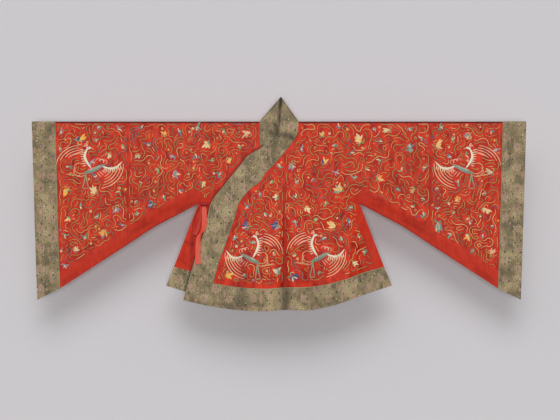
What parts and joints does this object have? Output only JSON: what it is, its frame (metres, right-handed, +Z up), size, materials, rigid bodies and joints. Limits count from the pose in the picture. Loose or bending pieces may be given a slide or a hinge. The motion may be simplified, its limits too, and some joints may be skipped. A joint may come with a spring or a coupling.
{
  "type": "ru jacket on a hanging rod",
  "caption": "Wide-sleeved cross-collar silk jacket with brocade bands and ribbon ties, hung flat through its sleeves on a straight round rod.",
  "frame": {"origin": "middle of the hanging rod's axis", "axes": "+X along the rod towards the wearer's left, +Z up, the jacket's front faces -Y"},
  "size_m": [2.0498, 0.0801, 0.8881],
  "materials": {
    "satin": "red silk satin with fine embroidery, soft sheen",
    "brocade": "olive-gold figured brocade, nearly matte",
    "ribbon": "coral red silk ribbon, soft sheen",
    "rod": "plain pale round wood, sanded"
  },
  "bodies": {
    "root": {"body_wearers_left": "satin", "body_wearers_right": "satin", "overlap_outer": "satin", "overlap_inner": "satin", "sleeve_wearers_left": "satin", "sleeve_wearers_right": "satin", "cuff_wearers_left": "brocade", "cuff_wearers_right": "brocade", "collar_wearers_left": "brocade", "collar_wearers_right": "brocade", "hem_band_front_outer": "brocade", "hem_band_front_inner": "brocade", "hem_band_back": "brocade", "tie_knot": "ribbon", "tie_tail_long": "ribbon", "tie_tail_short": "ribbon", "tie_loop": "ribbon", "hanging_rod": "rod"}
  },
  "joints": []
}
